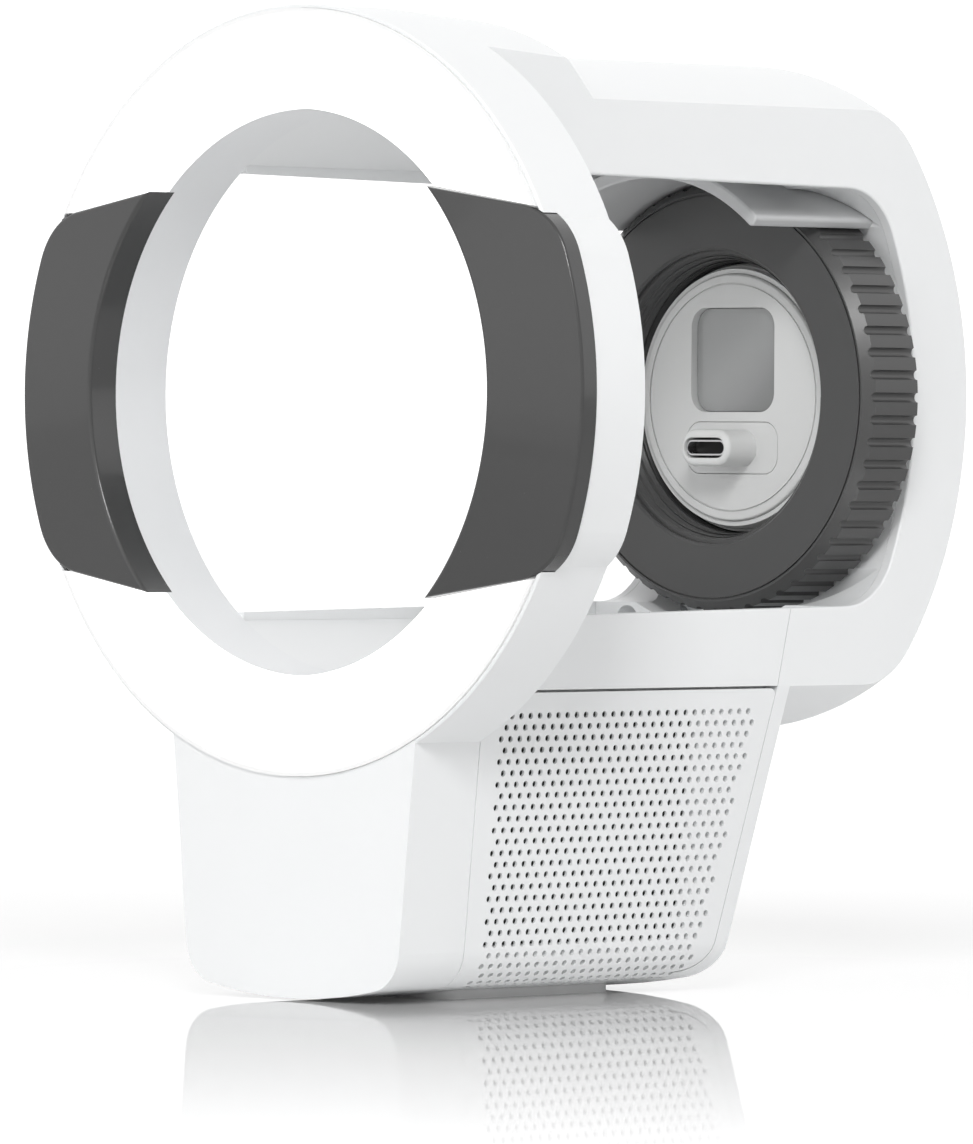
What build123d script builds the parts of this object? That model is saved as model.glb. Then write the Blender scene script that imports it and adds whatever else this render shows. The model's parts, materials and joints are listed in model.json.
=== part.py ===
"""Desk-top phoropter head: a ring-lit viewing tunnel on a stand, with a focus wheel that drives a dock.

Working frame: the optical axis is Y, the lit ring faces -Y and its face lies at y = 0. X is to the right
and Z is up, with z = 0 on the optical axis. `put` moves every solid so that the origin ends up at the
bottom centre of the whole part, on the table.
"""
import os
from math import atan2, cos, radians, sin, sqrt

from build123d import *

# ---------------------------------------------------------------- driving dimensions, millimetres
# Front ring and viewing tunnel
RING_R = 58.0             # outer radius of the ring band
RING_CHAMFER = 0.2        # broken front edge of the band
BAND_DEPTH = 14.0         # ring face to the back of the band
RING_WIDTH = 15.55        # from the ring's edge in to the clear tunnel
FRAME_FRONT = 0.4         # the frame's front sits this far behind the diffuser
DIFFUSER_RIM = 0.55       # bare rim of the frame around the lit face
DIFFUSER_T = 2.3
SLEEVE_WALL = 1.55
LED_CHANNEL_EDGE = 2.0    # wall between the lamp channel and the rim, sleeve and pads
LED_CHANNEL_FLOOR = 10.4
LED_BOARD_T = 1.4

# Side pads and the ears that carry them
EAR_STEP = 1.6            # the ears' outer edge stands this far outside the ring
EAR_MIDDLE_HALF = 34.57   # half height of the ears, carried on to the middle plane
EAR_NARROWING = 0.154     # they narrow by this much per millimetre outwards
EAR_CORNER_R = 10.5
PAD_OVERHANG = 0.35       # the pad stands this far outside its ear
PAD_FRONT_IN = -2.0       # front of the pad at the tunnel
PAD_FRONT_OUT = 0.6       # front of the pad at its outer edge
PAD_BACK = 3.5
PAD_EDGE_R = 0.5
PAD_BOARD_T = 1.2
PAD_BOARD_POCKET = 1.6
PAD_BOARD_INSET = 4.0     # pocket from the sleeve, the ear's edge and the pad's corners

# Body: one turned outline, cut flat on both sides
BODY_HALF_W = 26.7
BODY_STEP = 6.2           # the body's turned outline lies this far inside the ring
HEAD_BACK = 31.0          # the raised head ends here ...
HEAD_TAPER = 1.05         # ... this much lower than the ring
STEP_BACK = 36.6          # foot of the slope behind the head
DOME_RISE = 15.72         # height of the domed back over the edge of the bulkhead
DEPTH = 126.0             # ring face to the top of the dome
DOME_EDGE_R = 14.0
SKIN = 2.4
SIDE_SKIN = 1.8
SHOULDER_LAG = 0.4        # the inner slope starts this share of the skin ahead of the outer one

# Side windows
WINDOW_INSET = 10.35      # back of the windows' long edges from the height of the tunnel's wall
WINDOW_TAPER = 0.015      # each long edge closes in this much per millimetre backwards
WINDOW_TO_BACK = 17.4     # from the window's bowed back edge to the top of the dome
WINDOW_BACK_R = 66.0
WINDOW_CORNER_R = 11.0
WINDOW_EDGE_R = 0.35
WINDOW_WALL = 2.2         # inner wall that carries on the window's back edge

# Stand
AXIS_HEIGHT = 91.0        # optical axis above the table
STAND_DROP = 1.85         # top of the stand below the tunnel
STAND_BOTTOM_R = 90.7     # the underside is an arc about the optical axis
STAND_TAPER = 0.1         # each side leans in this much per millimetre down
STAND_CORNER_R = 6.5
BACK_TOP_Y = 80.7         # back of the stand, at STAND_TOP
BACK_SLOPE = 0.2425       # it leans forward this much per millimetre down
BACK_CORNER_R = 9.0
BACK_PLATE = 2.7          # the back seam runs this far in front of the back
STAND_SKIN = 2.2
STAND_FLOOR = 3.4
SEAM = 0.15               # open seam between outer shells
FRONT_LINE = 0.2          # width and depth of the line behind the ring band, down the stand
GRILLE_CORNER_R = 1.0     # top back corner of the grille shell
GROOVE = 0.4              # shadow groove above the grille shell
SPIGOT = 2.2              # the beam's floor reaches this far into the grille shell

# Inner tunnel, wheel bay
LINER_WALL = 1.6
LINER_STEP = 0.15         # the liner's bore is this much wider than the sleeve's
HOOD_LENGTH = 26.5
HOOD_GAP = 0.4            # around the wheel
HOOD_WALL = 2.1
HOOD_HALF_ANGLE = 40.0
HOOD_END_R = 0.75
HOOD_EDGE_R = 0.4
BULKHEAD_TO_BACK = 23.0   # from the bulkhead's front to the top of the dome
BULKHEAD_T = 3.0
FIT = 0.1                 # clearance between pieces that are pushed together

# Focus wheel
WHEEL_T = 11.1
WHEEL_REACH = 6.7         # the wheel reaches this far out of the side windows
WHEEL_CHAMFER = 1.5
BORE_CHAMFER = 0.4
WHEEL_LINE_INSET = 0.3    # line groove from the foot of the chamfer
FACE_LINE = 0.3           # width and depth of the line grooves in the wheel and the dock
FLUTES = 60
FLUTE_R = 0.75
FLUTE_DEPTH = 0.7
THRUST_WASHER_T = 0.7
HUB_WALL = 0.9
HUB_LENGTH = 6.2
RUN = 0.3                 # end play between turning and fixed faces
BEARING_FIT = 0.08        # radial clearance of the hub in the bulkhead
BEARING_WALL = 4.6
NUT_WALL = 1.7
THREAD_GAP = 0.2          # between the nut's bore and the barrel
RETAINER_WALL = 1.0
RETAINER_T = 1.5
RETAINER_GAP = 0.4        # around the retainer

# Dock
BARREL_INSET = 5.7        # from the body's side to the barrel
BARREL_WALL = 1.6
BARREL_LENGTH = 11.8
BARREL_LEDGE = 1.6        # width and depth of the ledge behind the disc
DISC_SETBACK = 4.8        # disc face behind the wheel's face
DISC_PROUD = 0.5          # disc face in front of the barrel's
DISC_T = 3.0
DISC_LINE_INSET = 1.4
DISC_EDGE_R = 0.4
RECESS_W = 17.8
RECESS_H = 16.3
RECESS_Z = 5.85
RECESS_DEPTH = 1.3
RECESS_CORNER_R = 3.0
RECESS_FLANGE = 1.0        # overhang and thickness of the window's flange behind the disc
PLATE_W = 19.3
PLATE_H = 8.0
PLATE_Z = -7.9
PLATE_T = 2.0
PLATE_CORNER_R = 2.7
BOSS_W = 10.5
BOSS_H = 5.8
BOSS_REACH = 6.4          # boss in front of the disc
BOSS_EDGE_R = 0.8
PLUG_W = 8.25
PLUG_H = 2.4
PLUG_WALL = 0.25
PLUG_GAP = 0.4
PLUG_INSET = 0.4          # plug shell behind the boss's front
PLUG_CORE_INSET = 1.8     # tongue behind the shell's front
CARRIER_INSET = 2.4       # carrier's back from the barrel's
CARRIER_T = 2.4
DOCK_BOARD_T = 1.4
GUIDE_X = 12.0
GUIDE_R = 1.5
GUIDE_LEAD = 2.7          # guide pins reach this far in front of the carrier
GUIDE_SEAT = 4.0          # depth of the pins in their bosses
GUIDE_BOSS_TO_BACK = 10.0
GUIDE_SLIDE = 0.05
GUIDE_GAP = 0.5           # around the pins where nothing slides on them

# Screws
SCREW_INSET = 2.4         # screw axes from the inner side walls
SCREW_OUTSET = 0.55       # screw axes outside the tunnel's wall
SCREW_R = 1.2
SCREW_HEAD_R = 2.2
SCREW_HEAD_T = 1.8
SCREW_LENGTH = 9.0
SCREW_GAP = 0.05
BOSS_WALL = 1.7
BULKHEAD_SCREW_X = 18.0
BULKHEAD_SCREW_DROP = 7.45   # below the height of the tunnel's wall
BULKHEAD_SCREW_LENGTH = 5.0

# Inside the stand
CHASSIS_INSET = 9.8       # from the side of the body at its top
CHASSIS_T = 2.0
CHASSIS_Z = -84.0
CHASSIS_FRONT = 16.0
CHASSIS_BACK = 64.0
CHEEK_T = 1.5
CHEEK_FRONT = 28.0
CHEEK_BACK = 52.0
CHEEK_TOP = -58.0
POST_R = 1.5
POST_SIDE_INSET = 3.9
POST_INSET = 2.0
BOARD_Z = -60.0
BOARD_T = 1.6
BOARD_INSET = 1.9
BATTERY_INSET = 2.3
BATTERY_H = 17.0
BATTERY_FRONT = 20.5
BATTERY_BACK = 59.5
BATTERY_EDGE_R = 2.0
SPEAKER_R = 9.0
SPEAKER_T = 3.6
DISH_RIM_R = 6.8          # cone dish in the speaker's face
DISH_HUB_R = 3.2
SPEAKER_Y = 40.0
SPEAKER_Z = -69.0
RIB_X = 10.0
RIB_T = 2.0
FOOT_HALF_W = 14.0
FOOT_FRONT = 18.0
FOOT_BACK = 56.0
FOOT_T = 1.8
FOOT_CORNER_R = 4.0

# Worked out from the above: from the ring inwards, from the sides inwards, then from front to back
BAND_BACK = BAND_DEPTH
TUNNEL_R = RING_R - RING_WIDTH
HEAD_BACK_R = RING_R - HEAD_TAPER
BODY_R = RING_R - BODY_STEP
WINDOW_HALF_H = TUNNEL_R - WINDOW_INSET
SCREW_Z = TUNNEL_R + SCREW_OUTSET
BULKHEAD_SCREW_Z = TUNNEL_R - BULKHEAD_SCREW_DROP
STAND_TOP = -TUNNEL_R - STAND_DROP
WHEEL_R = BODY_HALF_W + WHEEL_REACH
BARREL_R = BODY_HALF_W - BARREL_INSET
CHASSIS_HALF_W = BODY_HALF_W - CHASSIS_INSET
POST_X = CHASSIS_HALF_W - POST_SIDE_INSET
BOARD_HALF_W = CHASSIS_HALF_W - BOARD_INSET
BATTERY_HALF_W = CHASSIS_HALF_W - BATTERY_INSET
DIFFUSER_R = RING_R - DIFFUSER_RIM
SLEEVE_R = TUNNEL_R + SLEEVE_WALL
LED_CHANNEL_OUT = DIFFUSER_R - LED_CHANNEL_EDGE
LED_CHANNEL_IN = SLEEVE_R + LED_CHANNEL_EDGE
EAR_R = RING_R + EAR_STEP
PAD_R = EAR_R + PAD_OVERHANG
LINER_BORE_R = TUNNEL_R + LINER_STEP
LINER_R = LINER_BORE_R + LINER_WALL
DOME_R = (LINER_R ** 2 + DOME_RISE ** 2) / (2 * DOME_RISE)
INNER_HALF_W = BODY_HALF_W - SIDE_SKIN
SCREW_X = INNER_HALF_W - SCREW_INSET
NUT_BORE_R = BARREL_R + THREAD_GAP
NUT_R = NUT_BORE_R + NUT_WALL
HUB_R = NUT_R + HUB_WALL
BEARING_R = HUB_R + BEARING_FIT + BEARING_WALL
RETAINER_R = HUB_R + RETAINER_WALL
HOOD_IN_R = WHEEL_R + HOOD_GAP
WHEEL_FACE_R = WHEEL_R - WHEEL_CHAMFER
WHEEL_LINE_R = WHEEL_FACE_R - WHEEL_LINE_INSET
BARREL_BORE_R = BARREL_R - BARREL_WALL
DISC_R = BARREL_BORE_R - GUIDE_SLIDE
DISC_LINE_R = DISC_R - DISC_LINE_INSET
WINDOW_BACK = DEPTH - WINDOW_TO_BACK
BULKHEAD_FRONT = DEPTH - BULKHEAD_TO_BACK
BULKHEAD_BACK = BULKHEAD_FRONT + BULKHEAD_T
HOOD_FRONT = BULKHEAD_FRONT - HOOD_LENGTH
WHEEL_BACK = BULKHEAD_FRONT - THRUST_WASHER_T - RUN
WHEEL_FRONT = WHEEL_BACK - WHEEL_T
HUB_BACK = WHEEL_BACK + HUB_LENGTH
DISC_FRONT = WHEEL_FRONT + DISC_SETBACK
DISC_BACK = DISC_FRONT + DISC_T
BARREL_FRONT = DISC_FRONT + DISC_PROUD
BARREL_BACK = BARREL_FRONT + BARREL_LENGTH
CARRIER_BACK = BARREL_BACK - CARRIER_INSET
CARRIER_FRONT = CARRIER_BACK - CARRIER_T
DOCK_BOARD_FRONT = CARRIER_FRONT - DOCK_BOARD_T
BOSS_FRONT = DISC_FRONT - BOSS_REACH
PLUG_FRONT = BOSS_FRONT + PLUG_INSET
PLUG_CORE_FRONT = PLUG_FRONT + PLUG_CORE_INSET
GUIDE_FRONT = CARRIER_FRONT - GUIDE_LEAD
GUIDE_BOSS_FRONT = DEPTH - GUIDE_BOSS_TO_BACK
GUIDE_BACK = GUIDE_BOSS_FRONT + GUIDE_SEAT
WIDE = 400.0              # any cutter that has to run past the part


# ---------------------------------------------------------------- working planes and helpers
def across(y):
    """Plane square to the optical axis at depth y: local x is X, local y is Z, and its normal is -Y."""
    return Plane(origin=(0, y, 0), x_dir=(1, 0, 0), z_dir=(0, -1, 0))


def side_on(x):
    """Plane square to X: local x is Y, local y is Z."""
    return Plane(origin=(x, 0, 0), x_dir=(0, 1, 0), z_dir=(1, 0, 0))


def along_y(sketch, y_front, y_back):
    """Extrude a sketch drawn in (X, Z) from y_front back to y_back."""
    return extrude(across(y_back) * sketch, amount=y_back - y_front)


def along_x(sketch, half_width):
    """Extrude a sketch drawn in (Y, Z) to both sides of the middle plane."""
    return extrude(side_on(-half_width) * sketch, amount=2 * half_width)


def rod(radius, y_front, y_back, x=0.0, z=0.0):
    """Cylinder parallel to the optical axis."""
    return along_y(Pos(x, z) * Circle(radius), y_front, y_back)


def tube(inner, outer, y_front, y_back):
    return along_y(Circle(outer) - Circle(inner), y_front, y_back)


def block(x_low, x_high, y_low, y_high, z_low, z_high):
    size = (x_high - x_low, y_high - y_low, z_high - z_low)
    middle = ((x_low + x_high) / 2, (y_low + y_high) / 2, (z_low + z_high) / 2)
    return Pos(*middle) * Box(*size)


def turned(*points):
    """Solid of revolution about the optical axis from (radius, y) points."""
    return revolve(make_face(Polyline(*points, close=True)), Axis.Y)


def both(piece):
    """A piece and its mirror image on the other side of the middle plane."""
    return piece + mirror(piece, Plane.YZ)


def four(x, z):
    return [(sx * x, sz * z) for sx in (-1, 1) for sz in (-1, 1)]


# ---------------------------------------------------------------- shared outlines
def ear_outline(grow=0.0):
    """Both side ears, drawn in (X, Z): edges that close in outwards to an arc about the optical axis."""
    half = EAR_MIDDLE_HALF + grow
    far_half = half - EAR_NARROWING * WIDE / 4
    wedge = Polyline((0, -half), (WIDE / 4, -far_half), (WIDE / 4, far_half), (0, half), close=True)
    ear = make_face(wedge) & Circle(EAR_R + grow)
    corners = ear.vertices().filter_by(lambda v: v.X > RING_R / 2)
    ear = fillet(corners, EAR_CORNER_R + grow)
    return ear + mirror(ear, Plane.YZ)


def pad_outline(grow=0.0):
    """Both pads: the ears' outline outside the tunnel."""
    return ear_outline(PAD_OVERHANG + grow) - Circle(TUNNEL_R)


def pad_side_of_ring(grow=0.0):
    """Everything between the pads' upper and lower edges, however far out."""
    half = EAR_MIDDLE_HALF + PAD_OVERHANG + grow
    far_half = half - EAR_NARROWING * (EAR_R + grow)
    far = EAR_R + grow
    ends = [(-far, -far_half), (0, -half), (far, -far_half), (far, far_half), (0, half), (-far, far_half)]
    return make_face(Polyline(*ends, close=True))


def stand_half_width(z):
    return BODY_HALF_W - STAND_TAPER * (STAND_TOP - z)


def stand_outline(inset=0.0, floor=0.0):
    """The stand from the front: sides that lean in to an arc-shaped bottom with rounded corners."""
    radius = STAND_BOTTOM_R - floor
    side = lambda z: stand_half_width(z) - inset
    z_low = -radius
    for _ in range(6):
        z_low = -sqrt(radius ** 2 - side(z_low) ** 2)
    x_low = side(z_low)
    top = side(STAND_TOP)
    sides = Polyline((-x_low, z_low), (-top, STAND_TOP), (top, STAND_TOP), (x_low, z_low))
    bottom = ThreePointArc((x_low, z_low), (0, -radius), (-x_low, z_low))
    face = make_face(sides + bottom)
    corners = face.vertices().group_by(Axis.Y)[0]
    return fillet(corners, STAND_CORNER_R - inset)


def back_y(z):
    """Back of the stand at height z."""
    return BACK_TOP_Y - BACK_SLOPE * (STAND_TOP - z)


def back_profile(inset=0.0, top=STAND_TOP):
    """Everything in front of the stand's back, drawn in (Y, Z), with the rounded heel."""
    low = -STAND_BOTTOM_R - 0.01 + inset
    points = [(-5, top), (-5, low), (back_y(low) - inset, low), (back_y(top) - inset, top)]
    face = make_face(Polyline(*points, close=True))
    heel = face.vertices().group_by(Axis.Y)[0].sort_by(Axis.X)[-1]
    return fillet(heel, BACK_CORNER_R - inset)


def body_profile(inset=0.0, front=BAND_BACK):
    """Half outline of the body in (radius, y): tapered head, slope, barrel and domed back."""
    dome_r = DOME_R - inset
    centre = DEPTH - DOME_R
    r = BODY_R - inset
    rim_y = centre + sqrt(dome_r ** 2 - r ** 2)
    top_y = centre + dome_r
    shoulder = inset * SHOULDER_LAG
    outline = Polyline((0, top_y), (0, front), (RING_R - inset, front), (HEAD_BACK_R - inset, HEAD_BACK - shoulder),
                       (r, STEP_BACK - shoulder), (r, rim_y))
    angle = atan2(rim_y - centre, r)
    middle = (angle + radians(90)) / 2
    dome = ThreePointArc((r, rim_y), (dome_r * cos(middle), centre + dome_r * sin(middle)), (0, top_y))
    face = make_face(outline + dome)
    edge = face.vertices().sort_by_distance((r, rim_y))[0]
    return fillet(edge, DOME_EDGE_R - inset)


def flat_sides(half_width):
    """Slab between the body's two flat sides, drawn in (X, Z)."""
    return Rectangle(2 * half_width, WIDE)


def window_outline(grow=0.0):
    """Side window in (Y, Z): open to the band in front and bowed at the back."""
    half = WINDOW_HALF_H + grow
    back = WINDOW_BACK + grow
    radius = WINDOW_BACK_R + grow
    bow = radius - sqrt(radius ** 2 - half ** 2)
    front = BAND_BACK - 1
    front_half = half + WINDOW_TAPER * (back - bow - front)
    lines = Polyline((back - bow, half), (front, front_half), (front, -front_half), (back - bow, -half))
    arc = ThreePointArc((back - bow, -half), (back, 0), (back - bow, half))
    face = make_face(lines + arc)
    return fillet(face.vertices().group_by(Axis.X)[1], WINDOW_CORNER_R + grow)


def seam_y(z):
    """The seam in front of the stand's back plate."""
    return back_y(z) - BACK_PLATE


def in_front_of_seam(gap, low, high, corner=0.0):
    """Prism of everything in front of the back seam between two heights. The seam turns under the heel."""
    within = back_profile(BACK_PLATE + gap, high)
    heel_front = within.edges().group_by(Axis.Y)[0].sort_by(Axis.X)[-1].bounding_box().max.X
    if corner:
        top_back = within.vertices().group_by(Axis.Y)[-1].sort_by(Axis.X)[-1]
        within = fillet(top_back, corner)
    under = block(-WIDE / 2, WIDE / 2, BAND_BACK, heel_front - gap, low, high)
    return (along_x(within, WIDE / 2) & block(-WIDE / 2, WIDE / 2, BAND_BACK, WIDE, low, high)) + under


# ---------------------------------------------------------------- outer and inner body
def outer_body():
    turned_body = revolve(body_profile(), Axis.Y)
    sides = along_y(flat_sides(BODY_HALF_W), BAND_BACK, DEPTH + 1)
    stand = along_y(stand_outline(), BAND_BACK, DEPTH) & along_x(back_profile(), WIDE / 2)
    neck = along_y(Pos(0, STAND_TOP / 2) * Rectangle(2 * BODY_HALF_W, -STAND_TOP), BAND_BACK, BACK_TOP_Y)
    return (turned_body & sides) + stand + neck


def inner_body():
    turned_body = revolve(body_profile(SKIN, BAND_BACK - 1), Axis.Y)
    sides = along_y(flat_sides(INNER_HALF_W), BAND_BACK - 1, DEPTH + 1)
    heel = back_profile(BACK_PLATE, STAND_TOP)
    stand = along_y(stand_outline(STAND_SKIN, STAND_FLOOR), BAND_BACK - 1, DEPTH) & along_x(heel, WIDE / 2)
    return (turned_body & sides) + stand


# ---------------------------------------------------------------- static shells
def front_frame():
    """Ring band, ears and the front of the stand in one moulding."""
    disc = rod(RING_R, FRAME_FRONT, BAND_BACK)
    disc = chamfer(disc.edges().group_by(Axis.Y)[0], RING_CHAMFER)
    neck = Pos(0, STAND_TOP / 2) * Rectangle(2 * BODY_HALF_W, -STAND_TOP)
    body = disc + along_y(ear_outline() + stand_outline() + neck, FRAME_FRONT, BAND_BACK)
    body -= rod(SLEEVE_R, -1, BAND_BACK + 1)
    body -= rod(DIFFUSER_R + FIT / 2, -1, DIFFUSER_T)
    body -= along_y(pad_outline(FIT), -1, PAD_BACK)
    channel = Circle(LED_CHANNEL_OUT) - Circle(LED_CHANNEL_IN) - pad_side_of_ring(LED_CHANNEL_EDGE)
    body -= along_y(channel, 0, LED_CHANNEL_FLOOR)
    body -= along_y(pad_board_outline(FIT), 0, PAD_BACK + PAD_BOARD_POCKET)
    under_ring = Pos(0, -RING_R - STAND_FLOOR - WIDE / 2) * Rectangle(WIDE, WIDE)
    body -= along_y(stand_outline(STAND_SKIN, STAND_FLOOR) & under_ring, STAND_FLOOR, BAND_BACK + 1)
    for x, z in four(SCREW_X, SCREW_Z):
        body -= rod(SCREW_HEAD_R + FIT, 0, LED_CHANNEL_FLOOR + SCREW_HEAD_T, x, z)
        body -= rod(SCREW_R + FIT, 0, BAND_BACK + 1, x, z)
    return body


def bore_sleeve():
    """Grey sleeve that lines the tunnel through the ring, notched behind the pads."""
    sleeve = tube(TUNNEL_R, SLEEVE_R, DIFFUSER_T, BAND_BACK)
    return sleeve - along_y(pad_outline(), 0, PAD_BACK)


def diffuser(upper):
    """Lit face between the pads, above or below the tunnel."""
    sign = 1 if upper else -1
    half = Pos(0, sign * WIDE / 2) * Rectangle(WIDE, WIDE)
    ring = (Circle(DIFFUSER_R) - Circle(TUNNEL_R) - pad_side_of_ring(FIT)) & half
    return along_y(ring, 0, DIFFUSER_T)


def led_board(upper):
    """Curved lamp board on the channel floor, with its lamps left to the finish."""
    sign = 1 if upper else -1
    half = Pos(0, sign * WIDE / 2) * Rectangle(WIDE, WIDE)
    ring = Circle(LED_CHANNEL_OUT - FIT) - Circle(LED_CHANNEL_IN + FIT)
    ring = (ring - pad_side_of_ring(LED_CHANNEL_EDGE + FIT)) & half
    return along_y(ring, LED_CHANNEL_FLOOR - LED_BOARD_T, LED_CHANNEL_FLOOR)


def pad(side):
    """Dark side pad: conical front, thick at the tunnel and thin at the ear."""
    reach = PAD_R + 1
    blank = turned((TUNNEL_R, PAD_FRONT_IN), (reach, PAD_FRONT_OUT), (reach, PAD_BACK), (TUNNEL_R, PAD_BACK))
    half = Pos(side * WIDE / 2, 0) * Rectangle(WIDE, WIDE)
    body = blank & along_y(pad_outline() & half, 2 * PAD_FRONT_IN, PAD_BACK)
    front = body.faces().filter_by(GeomType.CONE).sort_by(Axis.Y)[0]
    return fillet(front.edges(), PAD_EDGE_R)


def pad_board_outline(grow=0.0):
    ring = Circle(EAR_R - PAD_BOARD_INSET + grow) - Circle(SLEEVE_R + PAD_BOARD_INSET - grow)
    height = 2 * (EAR_MIDDLE_HALF - EAR_NARROWING * EAR_R - PAD_BOARD_INSET + grow)
    return ring & Rectangle(WIDE, height)


def pad_board(side):
    half = Pos(side * WIDE / 2, 0) * Rectangle(WIDE, WIDE)
    back = PAD_BACK + PAD_BOARD_POCKET
    return along_y(pad_board_outline() & half, back - PAD_BOARD_T, back)


def window_edges(shell):
    """Outer edges of the two side windows, without their open front ends."""
    edges = shell.edges().filter_by(lambda edge: abs(edge.center().X) > BODY_HALF_W - 0.01)
    edges = edges.filter_by_position(Axis.Y, BAND_BACK + 1, WINDOW_BACK + 1)
    return edges.filter_by_position(Axis.Z, -TUNNEL_R, TUNNEL_R)


def main_housing():
    """Top beam, domed back and the stand's back plate: one shell shaped like a C around the windows."""
    shell = outer_body() - inner_body()
    shell -= along_x(window_outline(), WIDE / 2)
    shell = fillet(window_edges(shell), WINDOW_EDGE_R)
    shell -= in_front_of_seam(0, -WIDE / 2, -WINDOW_HALF_H + 1)
    boss_r = SCREW_R + BOSS_WALL
    posts = [rod(boss_r, BULKHEAD_BACK, DEPTH, x, z) for x, z in four(BULKHEAD_SCREW_X, BULKHEAD_SCREW_Z)]
    posts += [rod(GUIDE_R + BOSS_WALL, GUIDE_BOSS_FRONT, DEPTH, x) for x in (-GUIDE_X, GUIDE_X)]
    posts += [rod(boss_r, BAND_BACK, BAND_BACK + SCREW_LENGTH, x, SCREW_Z) for x in (-SCREW_X, SCREW_X)]
    within = along_y(flat_sides(BODY_HALF_W - SIDE_SKIN / 2), 0, DEPTH)
    shell += (Part() + posts) & revolve(body_profile(SKIN / 2), Axis.Y) & within
    for x, z in four(BULKHEAD_SCREW_X, BULKHEAD_SCREW_Z):
        shell -= rod(SCREW_R + SCREW_GAP, BULKHEAD_BACK, BULKHEAD_BACK + BULKHEAD_SCREW_LENGTH, x, z)
    for x in (-GUIDE_X, GUIDE_X):
        shell -= rod(GUIDE_R + SCREW_GAP, GUIDE_BOSS_FRONT, GUIDE_BACK, x)
    for x in (-SCREW_X, SCREW_X):
        shell -= rod(SCREW_R + SCREW_GAP, BAND_BACK, BAND_BACK + SCREW_LENGTH, x, SCREW_Z)
    return shell


def lower_beam():
    """Sill under the windows: side walls, trough over the tunnel liner and a floor that plugs the stand."""
    floor = STAND_TOP - SPIGOT
    region = in_front_of_seam(SEAM, floor, -WINDOW_HALF_H)
    outer = Pos(0, (STAND_TOP - WINDOW_HALF_H) / 2) * Rectangle(2 * BODY_HALF_W, -STAND_TOP - WINDOW_HALF_H)
    spigot_half = stand_half_width(floor) - STAND_SKIN - FIT
    outer += Pos(0, STAND_TOP - SPIGOT / 2) * Rectangle(2 * spigot_half, SPIGOT + 0.01)
    beam = along_y(outer, BAND_BACK, DEPTH) & region
    trough = Circle(LINER_R + SEAM) & Rectangle(2 * INNER_HALF_W, WIDE)
    beam -= along_y(trough, 0, DEPTH)
    beam -= along_x(window_outline(), WIDE / 2)
    pocket = Rectangle(2 * (spigot_half - SKIN), -2 * floor + 1) - Circle(LINER_R + SKIN)
    pocket &= Pos(0, floor) * Rectangle(WIDE, -2 * floor - 2 * WINDOW_HALF_H)
    beam -= along_y(pocket, BAND_BACK + SCREW_LENGTH + SKIN, seam_y(floor) - SKIN)
    for x in (-SCREW_X, SCREW_X):
        beam -= rod(SCREW_R + SCREW_GAP, BAND_BACK, BAND_BACK + SCREW_LENGTH, x, -SCREW_Z)
    outside = beam.edges().filter_by(lambda edge: abs(edge.center().X) > BODY_HALF_W - 0.01)
    return fillet(outside.group_by(Axis.Z)[-1], WINDOW_EDGE_R)


def grille_shell():
    """Perforated wrap of the stand: both sides and the underside in one U, with ribs for the chassis."""
    region = in_front_of_seam(SEAM, -WIDE / 2, STAND_TOP - GROOVE, GRILLE_CORNER_R)
    sides = along_y(stand_outline(), BAND_BACK, DEPTH) & along_x(back_profile(), WIDE / 2)
    hollow = along_y(stand_outline(STAND_SKIN, STAND_FLOOR), 0, DEPTH)
    heel = block(-WIDE, WIDE, seam_y(STAND_TOP), WIDE, -WIDE, WIDE)
    shell = (sides - hollow - heel) & region
    rib = block(RIB_X - RIB_T / 2, RIB_X + RIB_T / 2, FOOT_FRONT, FOOT_BACK, -STAND_BOTTOM_R + 1, CHASSIS_Z)
    shell += both(rib)
    foot = block(-FOOT_HALF_W - FIT, FOOT_HALF_W + FIT, FOOT_FRONT - FIT, FOOT_BACK + FIT,
                 -AXIS_HEIGHT - 1, -AXIS_HEIGHT + FOOT_T)
    line = stand_outline(-1) - stand_outline(FRONT_LINE)
    return shell - foot - along_y(line, BAND_BACK, BAND_BACK + FRONT_LINE)


def bore_liner(upper):
    """Inner skin of the tunnel behind the ring, above or below the windows."""
    z_low, z_high = (0, WIDE) if upper else (-WIDE, 0)
    liner = tube(LINER_BORE_R, LINER_R, BAND_BACK, BULKHEAD_FRONT)
    half_w = INNER_HALF_W - FIT
    return liner & block(-half_w, half_w, 0, DEPTH, z_low, z_high)


def wheel_hood_upper():
    """Curved guard over the focus wheel."""
    reach = 2 * (HOOD_IN_R + HOOD_WALL)
    x_far = reach * sin(radians(HOOD_HALF_ANGLE))
    z_far = reach * cos(radians(HOOD_HALF_ANGLE))
    wedge = make_face(Polyline((0, 0), (-x_far, z_far), (x_far, z_far), close=True))
    ring = Circle(HOOD_IN_R + HOOD_WALL) - Circle(HOOD_IN_R)
    hood = along_y(ring & wedge, HOOD_FRONT, BULKHEAD_FRONT)
    hood = fillet(hood.edges().filter_by(Axis.Y), HOOD_END_R)
    return fillet(hood.faces().sort_by(Axis.Y)[0].edges(), HOOD_EDGE_R)


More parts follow.
